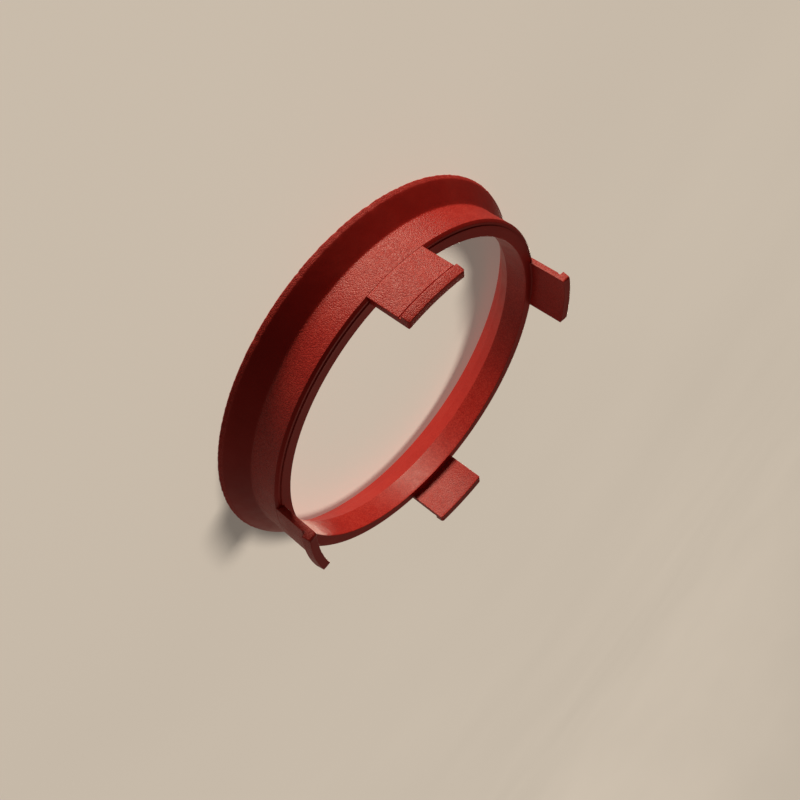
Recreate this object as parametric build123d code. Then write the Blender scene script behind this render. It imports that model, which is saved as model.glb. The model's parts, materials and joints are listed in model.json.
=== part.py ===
from build123d import *
import math
import os

# Hub centric ring, moulded in one piece of plastic.
# The origin is the centre of the flange's back face, +Z runs along the ring's axis towards the clips,
# and the first clip stands on +X. All lengths are in millimetres and all angles in degrees.

# Sleeve
SLEEVE_DIAMETER = 70.1
SLEEVE_WALL = 3.0
SLEEVE_LENGTH = 6.3

# Flange, a cone that flares from the sleeve to a short cylindrical rim
FLANGE_REACH = 3.55
CONE_LENGTH = 3.45
RIM_LAND = 0.9
RIM_WALL = 1.4
SKIRT_WALL = 1.5
COVE_RADIUS = 0.6

# Inside of the flange, a recess behind the lead-in cone of the bore
RECESS_DEPTH = 3.05
LEAD_IN_LENGTH = 2.8
LEAD_IN_ANGLE = 33.0

# Free end of the sleeve, a chamfer with a narrow ledge inside it
END_CHAMFER = 0.45
LEDGE_WIDTH = 0.5
LEDGE_HEIGHT = 0.25

# Snap clips, cut from a tube that is flush with the sleeve's outside
CLIP_COUNT = 4
CLIP_WIDTH = 12.7
CLIP_LENGTH = 8.2
CLIP_THICKNESS = 1.25
CLIP_SEAT = 2.0
CLIP_ROOT_RADIUS = 0.4
CLIP_CORNER_RADIUS = 0.6

# Barb, a ridge across the outside of each clip's tip
BARB_LENGTH = 1.9
BARB_HEIGHT = 0.4
BARB_CATCH = 0.2
BARB_CROWN = 0.7
BARB_NOSE = 0.3

# Radii and heights that follow from the sizes above
sleeve_radius = SLEEVE_DIAMETER / 2
bore_radius = sleeve_radius - SLEEVE_WALL
rim_radius = sleeve_radius + FLANGE_REACH
cone_foot = RIM_LAND + CONE_LENGTH
end_height = cone_foot + SLEEVE_LENGTH
tip_height = end_height + CLIP_LENGTH


def cone_radius(height):
    """Outside radius of the flange's cone at a height above the back face."""
    return sleeve_radius + FLANGE_REACH * (cone_foot - height) / CONE_LENGTH


def turned(corners):
    """Revolve a closed outline about the ring's axis; each corner is (radius, height, edge radius)."""
    points = [(radius, height) for radius, height, _ in corners]
    outline = FilletPolyline(*points, radius=[rounding for _, _, rounding in corners], close=True)
    return revolve(Plane.XZ * make_face(outline), Axis.Z)


def ring_body():
    """Sleeve and flange, from the rim's back edge up the outside and down through the bore."""
    end_radius = sleeve_radius - END_CHAMFER - LEDGE_WIDTH
    ledge = end_height - LEDGE_HEIGHT
    lead_in_foot = bore_radius + LEAD_IN_LENGTH * math.tan(math.radians(LEAD_IN_ANGLE))
    return turned([
        (rim_radius, 0, 0),
        (rim_radius, RIM_LAND, 0),
        (sleeve_radius, cone_foot, COVE_RADIUS),
        (sleeve_radius, ledge - END_CHAMFER, 0),
        (sleeve_radius - END_CHAMFER, ledge, 0),
        (end_radius, ledge, 0),
        (end_radius, end_height, 0),
        (bore_radius, end_height, 0),
        (bore_radius, RECESS_DEPTH + LEAD_IN_LENGTH, 0),
        (lead_in_foot, RECESS_DEPTH, 0),
        (cone_radius(RECESS_DEPTH) - SKIRT_WALL, RECESS_DEPTH, 0),
        (rim_radius - RIM_WALL, 0, 0),
    ])


def clip_tube():
    """Full turn of the clips' section: a thin wall on the sleeve's end, with the barb at its tip."""
    inner = sleeve_radius - CLIP_THICKNESS
    foot = inner - 2 * CLIP_ROOT_RADIUS
    crest = sleeve_radius + BARB_HEIGHT
    barb_foot = tip_height - BARB_LENGTH
    return turned([
        (foot, end_height - CLIP_SEAT, 0),
        (sleeve_radius, end_height - CLIP_SEAT, 0),
        (sleeve_radius, barb_foot, 0),
        (crest, barb_foot + BARB_CATCH, 0),
        (crest, barb_foot + BARB_CATCH + BARB_CROWN, 0),
        (sleeve_radius - BARB_NOSE, tip_height, 0),
        (inner, tip_height, 0),
        (inner, end_height, CLIP_ROOT_RADIUS),
        (foot, end_height, 0),
    ])


def clip_blank(angle):
    """Plate with two rounded upper corners that cuts one clip out of the tube."""
    base = end_height - CLIP_SEAT
    height = tip_height - base
    plate = Pos(0, base + height / 2) * Rectangle(CLIP_WIDTH, height)
    plate = fillet(plate.vertices().group_by(Axis.Y)[-1], CLIP_CORNER_RADIUS)
    blank = extrude(Plane.YZ * plate, rim_radius)
    return Rot(0, 0, angle) * blank


ring = ring_body()
tube = clip_tube()
for index in range(CLIP_COUNT):
    ring += tube & clip_blank(360 * index / CLIP_COUNT)

os.makedirs("parts", exist_ok=True)
export_step(ring, "parts/hub_centric_ring.step")
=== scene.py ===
import bpy
import bmesh
import json
import math
import random
from mathutils import Matrix, Vector, noise


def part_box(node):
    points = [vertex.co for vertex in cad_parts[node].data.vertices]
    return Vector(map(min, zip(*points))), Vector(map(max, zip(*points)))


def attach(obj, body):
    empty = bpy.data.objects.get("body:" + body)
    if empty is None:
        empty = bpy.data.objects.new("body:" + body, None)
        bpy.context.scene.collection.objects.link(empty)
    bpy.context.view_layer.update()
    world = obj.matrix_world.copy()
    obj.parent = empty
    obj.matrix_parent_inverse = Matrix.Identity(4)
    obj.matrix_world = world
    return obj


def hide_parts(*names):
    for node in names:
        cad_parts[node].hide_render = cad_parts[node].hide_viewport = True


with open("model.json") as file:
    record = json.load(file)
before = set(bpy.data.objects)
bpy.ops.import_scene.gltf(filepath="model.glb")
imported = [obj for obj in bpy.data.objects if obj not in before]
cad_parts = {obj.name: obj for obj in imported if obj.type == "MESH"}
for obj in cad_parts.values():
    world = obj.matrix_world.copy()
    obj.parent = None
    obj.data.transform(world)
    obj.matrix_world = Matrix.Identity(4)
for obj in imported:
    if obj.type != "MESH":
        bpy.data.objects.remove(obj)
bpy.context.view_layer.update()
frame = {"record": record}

# Hub centric ring, moulded in one piece of red plastic, lying on its flange.
# +Z runs along the ring's axis towards the clips, and the first clip stands on +X.
NODE = "hub_centric_ring"
MM = 0.001

# Sizes from the frame, in millimetres
mounts = {mount["name"]: mount for mount in frame["record"]["mounts"]}
sleeve_radius = mounts["wheel_seat"]["dims"]["r_mm"]
bore_radius = mounts["hub_bore"]["dims"]["r_mm"]
bore_length = mounts["hub_bore"]["dims"]["length_mm"]
_, node_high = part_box(NODE)
rim_radius = node_high.x / MM
tip_height = node_high.z / MM

# Ring section, in millimetres and degrees
END_HEIGHT = 10.65
RIM_LAND = 0.9
RIM_DRAFT = 0.35
CONE_FOOT = 4.35
RIM_WALL = 1.4
SKIRT_WALL = 1.5
COVE_RADIUS = 0.6
LEAD_IN_LENGTH = 2.8
LEAD_IN_ANGLE = 33.0
END_CHAMFER = 0.45
LEDGE_WIDTH = 0.5
LEDGE_HEIGHT = 0.25
EDGE_RADIUS = 0.1
LEDGE_EDGE_RADIUS = 0.05
RIM_EDGE_RADIUS = 0.8

# Clips, in millimetres
CLIP_COUNT = 4
CLIP_WIDTH = 12.7
CLIP_THICKNESS = 1.25
CLIP_SEAT = 1.6
CLIP_ROOT_RADIUS = 0.4
CLIP_CORNER_RADIUS = 0.6
CLIP_EDGE_RADIUS = 0.09
FOOT_DEPTH = 0.1
WITNESS_DEPTH = 0.07
WITNESS_HEIGHT = 0.16

# Barb across each clip's tip, and the groove before it with its flat floor, in millimetres
BARB_LENGTH = 1.9
BARB_HEIGHT = 0.75
BARB_CATCH = 0.1
BARB_TIP = 0.43
GROOVE_DEPTH = 0.15
GROOVE_RUN = 0.52
GROOVE_FLAT = 0.38
TIP_SLOPE = 0.2
TIP_EDGE_RADIUS = 0.2

# Nicks and flash on the rim: (degrees round the ring, degrees wide, millimetres out or in)
RIM_MARKS = [
    (-73.9, 0.5, -0.16), (-75.2, 0.6, 0.07), (-86.9, 0.6, -0.14), (-88.4, 0.5, 0.06), (-97.8, 0.7, -0.17),
    (-100.5, 0.5, 0.1), (-108.0, 0.6, -0.12), (-56.0, 0.5, -0.08), (-34.0, 0.6, -0.07),
    (-122.0, 0.4, -0.09),
]

# Slight marks round the rest of the rim, in the same units, drawn from a fixed seed
STRAY_MARKS = 26
STRAY_SEED = 7
STRAY_ANGLES = (-20, 235)
STRAY_WIDTHS = (0.3, 0.7)
STRAY_DEPTHS = (-0.1, 0.04)

# Waviness of the rim, and how far from its edge the waves and marks reach, in millimetres
WAVE_HEIGHT = 0.11
WAVE_PITCH = 0.7
MARK_REACH = 0.7

# Mesh: numbers of steps, the longest run in millimetres, and the angle of a sharp edge in degrees
RING_STEPS = 720
CLIP_STEPS = 56
ARC_STEPS = 4
LONGEST_RUN = 0.55
SHARP_ANGLE = 40.0

# Red plastic, with pitches, heights and depths in millimetres
PLASTIC_DEEP = (0.33, 0.012, 0.009, 1.0)
PLASTIC_RED = (0.43, 0.018, 0.013, 1.0)
PLASTIC_PALE = (0.50, 0.040, 0.028, 1.0)
COLOUR_STOPS = (0.25, 0.5, 0.8)
CLOUD_PITCH = 9.0
CLOUD_DETAIL = 3.0
CLOUD_SHARE = 0.5
SPECK_SHARE = 0.5
SPECK_MIDDLE = 0.5
PLASTIC_SPECULAR = 0.28
PLASTIC_ROUGHNESS = (0.38, 0.48)
ROUGHNESS_STOPS = (0.3, 0.7)
RIM_DULL_DEPTH = 0.6
RIM_DULLING = 0.35
GRAIN_PITCH = 0.19
GRAIN_HEIGHT = 0.06
SCUFF_PITCH = 2.2
SCUFF_DETAIL = 6.0
SCUFF_HEIGHT = 0.1
SCUFF_STRENGTH = 0.5

# Where the plastic is smoother: the bore, to a depth in millimetres, and faces that point along the axis
SMOOTH_DEPTH = (1.3, 2.3)
BORE_GRAIN = 0.12
SIDE_SLOPE = (0.35, 0.65)
END_GRAIN = 0.08

# Floor, in metres
FLOOR_MIDDLE = 0.001
FLOOR_FLAT = 0.9
FLOOR_RISE = 0.9
FLOOR_STEPS = 96
FLOOR_RISE_STEPS = 16
FLOOR_COLOUR = (0.5, 0.48, 0.495, 1.0)
FLOOR_SHADE = 0.94
FLOOR_CLOUD_SCALE = 6.0
FLOOR_CLOUD_DETAIL = 2.0
FLOOR_CLOUD_STOPS = (0.3, 0.7)
FLOOR_GLOW = 0.2
FLOOR_GLOW_COLOUR = (0.78, 0.70, 0.585, 1.0)
FLOOR_ROUGHNESS = 0.9
FLOOR_SPECULAR = 0.1

# Lamps, in degrees, metres and watts; the sun's strength is in watts per square metre
LAMP_DISTANCE = 0.6
LAMP_COLOUR = (1.0, 0.88, 0.68)
KEY_AZIMUTH = -120.0
KEY_ELEVATION = -33.0
KEY_SIZE = 0.24
KEY_POWER = 4.2
CARD_AZIMUTH = 112.0
CARD_ELEVATION = 60.0
CARD_SIZE = 0.3
CARD_POWER = 0.45
BACK_AZIMUTH = 125.0
BACK_ELEVATION = -13.0
BACK_SIZE = 0.25
BACK_POWER = 1.6
SUN_AZIMUTH = -135.0
SUN_ELEVATION = 58.0
SUN_STRENGTH = 3.0
SUN_ANGLE = 18.0

# Soft surround, from its dark side to its bright side, which lies in a direction in degrees
FILL_AZIMUTH = 45.0
FILL_ELEVATION = -55.0
FILL_DARK = (0.03, 0.025, 0.02, 1.0)
FILL_LEVEL = (0.09, 0.0765, 0.06, 1.0)
FILL_BRIGHT = (0.32, 0.272, 0.216, 1.0)
FILL_STOPS = (0.2, 0.5, 0.8)

# Camera: the photograph's view of the ring, in millimetres, degrees and pixels
EYE = Vector((56.36, -134.307, 77.675))
VIEW_AZIMUTH = 111.62
VIEW_ELEVATION = -25.52
VIEW_ROLL = 125.58
FOCAL_PIXELS = 860.6
FRAME_PIXELS = 800
SENSOR_WIDTH = 36.0
NEAR_LIMIT = 10.0


def rounded(corners):
    """Closed outline through (radius, height, edge radius) corners, with arcs and evenly divided runs."""
    count = len(corners)
    bends = []
    for index in range(count):
        before = Vector(corners[index - 1][:2])
        here = Vector(corners[index][:2])
        after = Vector(corners[(index + 1) % count][:2])
        radius = corners[index][2]
        to_before = (before - here).normalized()
        to_after = (after - here).normalized()
        if radius == 0:
            bends.append([here])
            continue
        half = to_before.angle(to_after) / 2
        centre = here + (to_before + to_after).normalized() * radius / math.sin(half)
        start = here + to_before * radius / math.tan(half) - centre
        end = here + to_after * radius / math.tan(half) - centre
        turn = start.angle_signed(end)
        bend = []
        for step in range(ARC_STEPS + 1):
            bend.append(centre + Matrix.Rotation(-turn * step / ARC_STEPS, 2) @ start)
        bends.append(bend)
    outline = []
    for index, bend in enumerate(bends):
        outline.extend(bend)
        following = bends[(index + 1) % count][0]
        run = following - bend[-1]
        parts = max(1, math.ceil(run.length / LONGEST_RUN))
        outline.extend(bend[-1] + run * part / parts for part in range(1, parts))
    return outline


def ring_outline():
    """Section of the sleeve and flange, from the rim's back edge up the outside and down the bore."""
    ledge = END_HEIGHT - LEDGE_HEIGHT
    end_radius = sleeve_radius - END_CHAMFER - LEDGE_WIDTH
    bore_foot = END_HEIGHT - bore_length
    recess = bore_foot - LEAD_IN_LENGTH
    lead_in_foot = bore_radius + LEAD_IN_LENGTH * math.tan(math.radians(LEAD_IN_ANGLE))
    slope = (rim_radius - sleeve_radius) / (CONE_FOOT - RIM_LAND)
    skirt = sleeve_radius + slope * (CONE_FOOT - recess) - SKIRT_WALL
    return rounded([
        (rim_radius, 0, EDGE_RADIUS),
        (rim_radius - RIM_DRAFT, RIM_LAND, RIM_EDGE_RADIUS),
        (sleeve_radius, CONE_FOOT, COVE_RADIUS),
        (sleeve_radius, ledge - END_CHAMFER, EDGE_RADIUS),
        (sleeve_radius - END_CHAMFER, ledge, EDGE_RADIUS),
        (end_radius, ledge, LEDGE_EDGE_RADIUS),
        (end_radius, END_HEIGHT, LEDGE_EDGE_RADIUS),
        (bore_radius, END_HEIGHT, EDGE_RADIUS),
        (bore_radius, bore_foot, EDGE_RADIUS),
        (lead_in_foot, recess, EDGE_RADIUS),
        (skirt, recess, EDGE_RADIUS),
        (rim_radius - RIM_WALL, 0, EDGE_RADIUS),
    ])


def rim_marks():
    """The marks that the photograph shows, and a few slight ones round the rest of the rim."""
    draw = random.Random(STRAY_SEED)
    marks = list(RIM_MARKS)
    for _ in range(STRAY_MARKS):
        angle = draw.uniform(*STRAY_ANGLES)
        marks.append((angle, draw.uniform(*STRAY_WIDTHS), draw.uniform(*STRAY_DEPTHS)))
    return marks


def rim_offset(angle, radius, height, marks):
    """How far the moulding's edge departs from a true circle at a point of the rim, in millimetres."""
    reach = math.hypot(rim_radius - radius, max(height - RIM_LAND, 0.0))
    if reach > MARK_REACH:
        return 0.0
    fade = (1 - reach / MARK_REACH) ** 2
    place = Vector((math.cos(angle), math.sin(angle), 0)) * rim_radius / WAVE_PITCH
    offset = WAVE_HEIGHT * noise.noise(place)
    for degrees, width, depth in marks:
        away = (math.degrees(angle) - degrees + 180) % 360 - 180
        offset += depth * math.exp(-(away / width) ** 2)
    return offset * fade


def grid_mesh(bm, rows, closed):
    """Quads between neighbouring rows of vertices; each row is a closed loop."""
    count = len(rows)
    for index in range(count if closed else count - 1):
        here = rows[index]
        after = rows[(index + 1) % count]
        for point in range(len(here)):
            following = (point + 1) % len(here)
            bm.faces.new((here[point], after[point], after[following], here[following]))


def add_ring(bm):
    """Full turn of the ring's section, with the rim's marks."""
    outline = ring_outline()
    marks = rim_marks()
    rows = []
    for step in range(RING_STEPS):
        angle = 2 * math.pi * step / RING_STEPS
        row = []
        for radius, height in outline:
            out = (radius + rim_offset(angle, radius, height, marks)) * MM
            row.append(bm.verts.new((out * math.cos(angle), out * math.sin(angle), height * MM)))
        rows.append(row)
    grid_mesh(bm, rows, closed=True)


def clip_outline():
    """Section of a clip: a foot in the sleeve's wall, a witness line above it, a barb and a sloped tip."""
    inner = sleeve_radius - CLIP_THICKNESS
    foot = inner - 2 * CLIP_ROOT_RADIUS
    crest = sleeve_radius + BARB_HEIGHT
    barb_foot = tip_height - BARB_LENGTH
    seat = END_HEIGHT - CLIP_SEAT
    line = END_HEIGHT - LEDGE_HEIGHT - END_CHAMFER
    sunk = sleeve_radius - WITNESS_DEPTH
    return rounded([
        (foot, seat, 0),
        (sunk, seat, 0),
        (sunk, line, 0),
        (sleeve_radius, line + WITNESS_HEIGHT, 0),
        (sleeve_radius, barb_foot - GROOVE_RUN, 0),
        (sleeve_radius - GROOVE_DEPTH, barb_foot - GROOVE_FLAT, 0),
        (sleeve_radius - GROOVE_DEPTH, barb_foot, 0),
        (crest, barb_foot + BARB_CATCH, EDGE_RADIUS),
        (sleeve_radius + BARB_TIP, tip_height, TIP_EDGE_RADIUS),
        (inner, tip_height - TIP_SLOPE, TIP_EDGE_RADIUS),
        (inner, END_HEIGHT, CLIP_ROOT_RADIUS),
        (foot, END_HEIGHT - FOOT_DEPTH, 0),
    ])


def inset(outline, distance):
    """The outline moved inwards along its normals."""
    moved = []
    for index, point in enumerate(outline):
        along = outline[(index + 1) % len(outline)] - outline[index - 1]
        moved.append(point + Vector((-along.y, along.x)).normalized() * distance)
    return moved


def clip_stations():
    """Places across a clip, with rounded sides, as (offset from its middle, inset of the section)."""
    flat = CLIP_WIDTH / 2 - CLIP_EDGE_RADIUS
    stations = []
    for step in range(ARC_STEPS):
        turn = math.radians(90) * (1 - step / ARC_STEPS)
        place = -flat - CLIP_EDGE_RADIUS * math.sin(turn)
        stations.append((place, CLIP_EDGE_RADIUS * (1 - math.cos(turn))))
    for step in range(CLIP_STEPS + 1):
        stations.append((-flat + 2 * flat * step / CLIP_STEPS, 0.0))
    stations.extend([(-place, depth) for place, depth in reversed(stations[:ARC_STEPS])])
    return stations


def corner_height(place):
    """Height of the clip's tip at a place across its width, lower at the two rounded corners."""
    past = abs(place) - (CLIP_WIDTH / 2 - CLIP_CORNER_RADIUS)
    if past <= 0:
        return tip_height
    drop = CLIP_CORNER_RADIUS - math.sqrt(max(CLIP_CORNER_RADIUS ** 2 - past ** 2, 0.0))
    return tip_height - drop


def add_clip(bm, turn):
    """One clip: its section swept across the width on the sleeve's curve, then turned to its place."""
    outline = clip_outline()
    to_place = Matrix.Rotation(turn, 3, "Z")
    rows = []
    for place, depth in clip_stations():
        limit = corner_height(place)
        row = []
        for radius, height in inset(outline, depth):
            out = math.sqrt(radius ** 2 - place ** 2)
            row.append(bm.verts.new(to_place @ Vector((out, place, min(height, limit))) * MM))
        rows.append(row)
    grid_mesh(bm, rows, closed=False)
    bm.faces.new(reversed(rows[0]))
    bm.faces.new(rows[-1])


def link_mesh(name, bm, material, sharp_angle=None):
    """New object from a bmesh, smooth apart from edges sharper than the angle."""
    mesh = bpy.data.meshes.new(name)
    bmesh.ops.recalc_face_normals(bm, faces=bm.faces)
    bm.to_mesh(mesh)
    bm.free()
    mesh.polygons.foreach_set("use_smooth", [True] * len(mesh.polygons))
    if sharp_angle:
        mesh.set_sharp_from_angle(angle=math.radians(sharp_angle))
    mesh.materials.append(material)
    piece = bpy.data.objects.new(name, mesh)
    bpy.context.scene.collection.objects.link(piece)
    return piece


def new_material(name):
    """Material with its node tree and its main shader."""
    material = bpy.data.materials.new(name)
    material.use_nodes = True
    tree = material.node_tree
    return material, tree, tree.nodes["Principled BSDF"]


def node(tree, kind, inputs=None, **settings):
    """New shader node with its settings and the values or links of its inputs."""
    made = tree.nodes.new(kind)
    for key, value in settings.items():
        setattr(made, key, value)
    for key, value in (inputs or {}).items():
        if isinstance(value, bpy.types.NodeSocket):
            tree.links.new(value, made.inputs[key])
        else:
            made.inputs[key].default_value = value
    return made


def maths(tree, operation, *values):
    """Result of an operation on one to three values or links."""
    return node(tree, "ShaderNodeMath", dict(enumerate(values)), operation=operation).outputs[0]


def blend(tree, value, limits, ends):
    """Number that goes from one end to the other while a value goes from limit to limit."""
    return node(tree, "ShaderNodeMapRange", {
        "Value": value, "From Min": limits[0], "From Max": limits[1], "To Min": ends[0], "To Max": ends[1],
    }).outputs["Result"]


def ramp(tree, factor, stops, colours):
    """Colour ramp of two or three colours, each at its stop."""
    made = node(tree, "ShaderNodeValToRGB", {"Fac": factor})
    elements = made.color_ramp.elements
    while len(elements) < len(stops):
        elements.new(stops[1])
    for element, stop, colour in zip(elements, stops, colours):
        element.position = stop
        element.color = colour
    return made.outputs["Color"]


def pitch_scale(pitch):
    """Noise scale in object space for features about that many millimetres across."""
    return 1 / (pitch * MM)


def soft_noise(tree, place, scale, detail):
    """Soft cloudy noise."""
    return node(tree, "ShaderNodeTexNoise", {
        "Vector": place, "Scale": scale, "Detail": detail,
    }).outputs["Fac"]


def plastic_colour(tree, place, grain, sides):
    """Red with soft clouds, and with specks on the grain's cells that fade on faces along the axis."""
    cloud = soft_noise(tree, place, pitch_scale(CLOUD_PITCH), CLOUD_DETAIL)
    cell = node(tree, "ShaderNodeSeparateColor", {"Color": grain.outputs["Color"]})
    tone = maths(tree, "MULTIPLY", cloud, CLOUD_SHARE)
    dot = maths(tree, "SUBTRACT", cell.outputs["Red"], SPECK_MIDDLE)
    faded = maths(tree, "MULTIPLY_ADD", dot, sides, SPECK_MIDDLE)
    speck = maths(tree, "MULTIPLY_ADD", faded, SPECK_SHARE, tone)
    return ramp(tree, speck, COLOUR_STOPS, (PLASTIC_DEEP, PLASTIC_RED, PLASTIC_PALE))


def plastic_roughness(tree, scuff, radius):
    """Roughness that follows the scuffs and grows towards the rim's edge."""
    even = blend(tree, scuff, ROUGHNESS_STOPS, PLASTIC_ROUGHNESS)
    rim = blend(tree, radius, ((rim_radius - RIM_DULL_DEPTH) * MM, rim_radius * MM), (0.0, RIM_DULLING))
    return maths(tree, "ADD", even, rim)


def plastic_relief(tree, grain, scuff, depth):
    """Normal of the sandy grain with the faint scuffs over it."""
    sand = node(tree, "ShaderNodeBump", {
        "Height": grain.outputs["Distance"], "Distance": GRAIN_HEIGHT * MM, "Strength": depth,
    }, invert=True)
    worn = node(tree, "ShaderNodeBump", {
        "Height": scuff, "Distance": SCUFF_HEIGHT * MM, "Strength": SCUFF_STRENGTH,
        "Normal": sand.outputs["Normal"],
    })
    return worn.outputs["Normal"]


def red_plastic():
    """Moulded red plastic: sandy grain outside, a smoother bore, cloudy colour and faint scuffs."""
    material, tree, shader = new_material("red_plastic")
    where = node(tree, "ShaderNodeTexCoord")
    place = where.outputs["Object"]
    flat = node(tree, "ShaderNodeVectorMath", {0: place, 1: (1.0, 1.0, 0.0)}, operation="MULTIPLY")
    length = node(tree, "ShaderNodeVectorMath", {0: flat.outputs["Vector"]}, operation="LENGTH")
    radius = length.outputs["Value"]
    facing = node(tree, "ShaderNodeSeparateXYZ", {"Vector": where.outputs["Normal"]})
    sides = blend(tree, maths(tree, "ABSOLUTE", facing.outputs["Z"]), SIDE_SLOPE, (1.0, END_GRAIN))
    outside = blend(tree, radius, [(bore_radius + depth) * MM for depth in SMOOTH_DEPTH], (BORE_GRAIN, 1.0))
    grain = node(tree, "ShaderNodeTexVoronoi", {"Vector": place, "Scale": pitch_scale(GRAIN_PITCH)})
    scuff = soft_noise(tree, place, pitch_scale(SCUFF_PITCH), SCUFF_DETAIL)
    looks = {
        "Base Color": plastic_colour(tree, place, grain, sides),
        "Roughness": plastic_roughness(tree, scuff, radius),
        "Normal": plastic_relief(tree, grain, scuff, maths(tree, "MULTIPLY", outside, sides)),
    }
    for socket, look in looks.items():
        tree.links.new(look, shader.inputs[socket])
    shader.inputs["Specular IOR Level"].default_value = PLASTIC_SPECULAR
    return material


def floor_material():
    """Plain pale matt floor with a faint cloudiness and a little light of its own."""
    material, tree, shader = new_material("pale_floor")
    place = node(tree, "ShaderNodeTexCoord").outputs["Object"]
    cloud = soft_noise(tree, place, FLOOR_CLOUD_SCALE, FLOOR_CLOUD_DETAIL)
    darker = tuple(FLOOR_SHADE * value for value in FLOOR_COLOUR[:3]) + (1.0,)
    colour = ramp(tree, cloud, FLOOR_CLOUD_STOPS, (darker, FLOOR_COLOUR))
    tree.links.new(colour, shader.inputs["Base Color"])
    shader.inputs["Emission Color"].default_value = FLOOR_GLOW_COLOUR
    shader.inputs["Emission Strength"].default_value = FLOOR_GLOW
    shader.inputs["Roughness"].default_value = FLOOR_ROUGHNESS
    shader.inputs["Specular IOR Level"].default_value = FLOOR_SPECULAR
    return material


def add_floor():
    """Round floor, flat under the ring and swept up far out; light passes through it to the ring."""
    profile = [(FLOOR_MIDDLE, 0.0), (FLOOR_FLAT, 0.0)]
    for step in range(1, FLOOR_RISE_STEPS + 1):
        turn = math.radians(90) * step / FLOOR_RISE_STEPS
        profile.append((FLOOR_FLAT + FLOOR_RISE * math.sin(turn), FLOOR_RISE * (1 - math.cos(turn))))
    bm = bmesh.new()
    rows = []
    for radius, height in profile:
        row = []
        for step in range(FLOOR_STEPS):
            angle = 2 * math.pi * step / FLOOR_STEPS
            row.append(bm.verts.new((radius * math.cos(angle), radius * math.sin(angle), height)))
        rows.append(row)
    grid_mesh(bm, rows, closed=False)
    bm.faces.new(rows[0])
    floor = link_mesh("floor", bm, floor_material())
    floor.visible_diffuse = False
    floor.visible_glossy = False
    floor.visible_shadow = False
    return floor


def direction(azimuth, elevation):
    """Unit vector towards an azimuth round +Z and an elevation above the floor."""
    a = math.radians(azimuth)
    e = math.radians(elevation)
    return Vector((math.cos(a) * math.cos(e), math.sin(a) * math.cos(e), math.sin(e)))


def add_lamp(name, kind, towards, power, lit, **settings):
    """Lamp that is aimed at the ring from a direction and lights one object alone."""
    light = bpy.data.lights.new(name, kind)
    light.energy = power
    light.color = LAMP_COLOUR
    for key, value in settings.items():
        setattr(light, key, value)
    lamp = bpy.data.objects.new(name, light)
    lamp.location = towards * LAMP_DISTANCE
    lamp.rotation_mode = "QUATERNION"
    lamp.rotation_quaternion = towards.to_track_quat("Z", "Y")
    bpy.context.scene.collection.objects.link(lamp)
    only = bpy.data.collections.new(name + "_lights")
    only.objects.link(lit)
    lamp.light_linking.receiver_collection = only


def add_lamps(ring, floor):
    """Soft key, a weak card above and a lamp behind for the ring, and an even sun for the floor."""
    discs = [
        ("key", KEY_AZIMUTH, KEY_ELEVATION, KEY_POWER, KEY_SIZE),
        ("card", CARD_AZIMUTH, CARD_ELEVATION, CARD_POWER, CARD_SIZE),
        ("back", BACK_AZIMUTH, BACK_ELEVATION, BACK_POWER, BACK_SIZE),
    ]
    for name, azimuth, elevation, power, size in discs:
        add_lamp(name, "AREA", direction(azimuth, elevation), power, ring, shape="DISK", size=size)
    add_lamp("sun", "SUN", direction(SUN_AZIMUTH, SUN_ELEVATION), SUN_STRENGTH, floor,
             angle=math.radians(SUN_ANGLE))


def add_sky():
    """Soft surround, brightest below the ring's plane on the side away from the key."""
    world = bpy.data.worlds.new("surround")
    world.use_nodes = True
    tree = world.node_tree
    place = node(tree, "ShaderNodeTexCoord").outputs["Generated"]
    towards = node(tree, "ShaderNodeVectorMath", {0: place, 1: direction(FILL_AZIMUTH, FILL_ELEVATION)},
                   operation="DOT_PRODUCT")
    share = blend(tree, towards.outputs["Value"], (-1.0, 1.0), (0.0, 1.0))
    colour = ramp(tree, share, FILL_STOPS, (FILL_DARK, FILL_LEVEL, FILL_BRIGHT))
    tree.links.new(colour, tree.nodes["Background"].inputs["Color"])
    bpy.context.scene.world = world


def add_camera():
    """Camera at the photograph's viewing angle, rolled as the ring leans there."""
    lens = bpy.data.cameras.new("camera")
    lens.sensor_width = SENSOR_WIDTH
    lens.lens = FOCAL_PIXELS * SENSOR_WIDTH / FRAME_PIXELS
    lens.clip_start = NEAR_LIMIT * MM
    camera = bpy.data.objects.new("camera", lens)
    level = direction(VIEW_AZIMUTH, VIEW_ELEVATION).to_track_quat("-Z", "Y").to_matrix().to_4x4()
    roll = Matrix.Rotation(math.radians(VIEW_ROLL), 4, "Z")
    camera.matrix_world = Matrix.Translation(EYE * MM) @ level @ roll
    bpy.context.scene.collection.objects.link(camera)
    bpy.context.scene.camera = camera


def add_moulding():
    """The whole ring as one detailed piece in place of the plain solid."""
    bm = bmesh.new()
    add_ring(bm)
    for index in range(CLIP_COUNT):
        add_clip(bm, 2 * math.pi * index / CLIP_COUNT)
    piece = link_mesh("ring_moulding", bm, red_plastic(), sharp_angle=SHARP_ANGLE)
    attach(piece, "root")
    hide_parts(NODE)
    return piece


moulding = add_moulding()
add_lamps(moulding, add_floor())
add_sky()
add_camera()
bpy.context.scene.view_settings.view_transform = "Standard"
